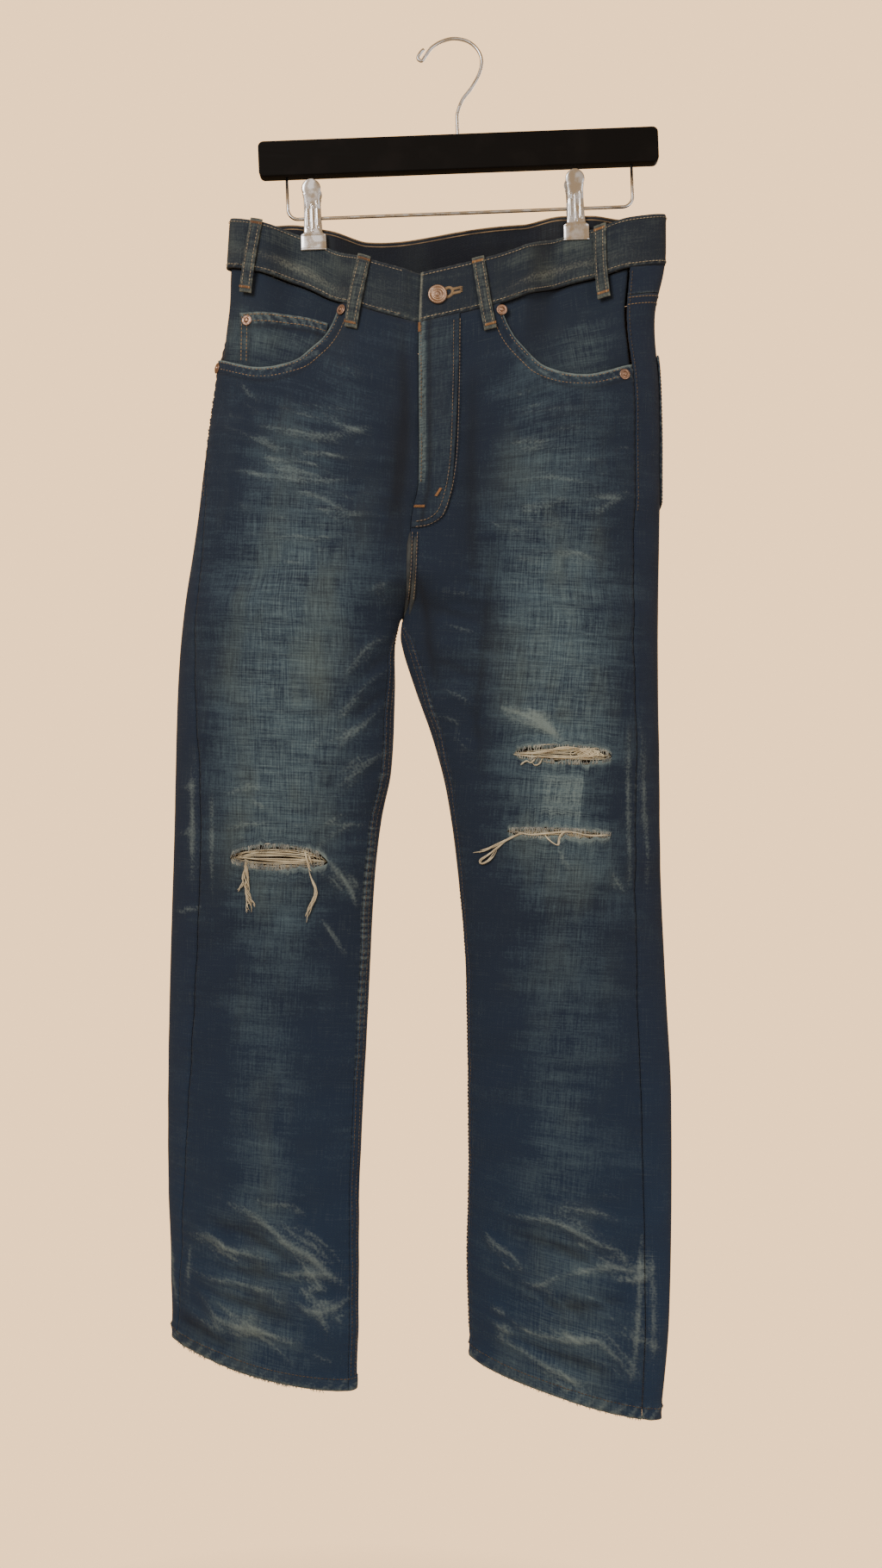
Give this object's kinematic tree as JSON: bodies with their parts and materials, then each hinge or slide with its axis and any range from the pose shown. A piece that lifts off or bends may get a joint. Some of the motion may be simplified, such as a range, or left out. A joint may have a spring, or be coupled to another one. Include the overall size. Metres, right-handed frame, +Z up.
{
  "type": "ripped jeans on a clip hanger",
  "caption": "Ripped straight-leg denim jeans hanging from a clip hanger, waist held flat in its clips, with torn knees, a hollow waist and open legs.",
  "frame": {"origin": "where the inside of the hanger's hook rests on its rail, above the middle of the jeans", "axes": "+Z up; +X towards the wearer's left leg; -Y out of the front of the jeans"},
  "size_m": [0.4606, 0.0825, 1.2267],
  "materials": {
    "faded_denim": "worn blue-grey twill, faded on the thighs and knees",
    "dark_denim": "dark blue-grey twill",
    "copper": "dull copper plate, rubbed bright on the rims",
    "black_wood": "black satin lacquer",
    "steel": "bright nickel plate, a little scratched"
  },
  "bodies": {
    "root": {"front_right": "faded_denim", "front_left": "faded_denim", "yoke_right": "dark_denim", "back_right": "dark_denim", "yoke_left": "dark_denim", "back_left": "dark_denim", "pocket_facing_right": "faded_denim", "pocket_facing_left": "faded_denim", "coin_pocket": "faded_denim", "back_pocket_right": "dark_denim", "back_pocket_left": "dark_denim", "fly": "dark_denim", "waistband": "faded_denim", "belt_loop_front_right": "faded_denim", "belt_loop_front_left": "faded_denim", "belt_loop_side_right": "faded_denim", "belt_loop_side_left": "faded_denim", "belt_loop_back_right": "faded_denim", "belt_loop_back_left": "faded_denim", "belt_loop_back_centre": "faded_denim", "waist_button": "copper", "rivet_pocket_top_right": "copper", "rivet_pocket_side_right": "copper", "rivet_pocket_top_left": "copper", "rivet_pocket_side_left": "copper", "rivet_coin_pocket": "copper", "hanger_bar": "black_wood", "hanger_hook": "steel", "hanger_wire": "steel", "clip_front_leaf_right": "steel", "clip_back_leaf_right": "steel", "clip_spring_right": "steel", "clip_front_leaf_left": "steel", "clip_back_leaf_left": "steel", "clip_spring_left": "steel"}
  },
  "joints": []
}
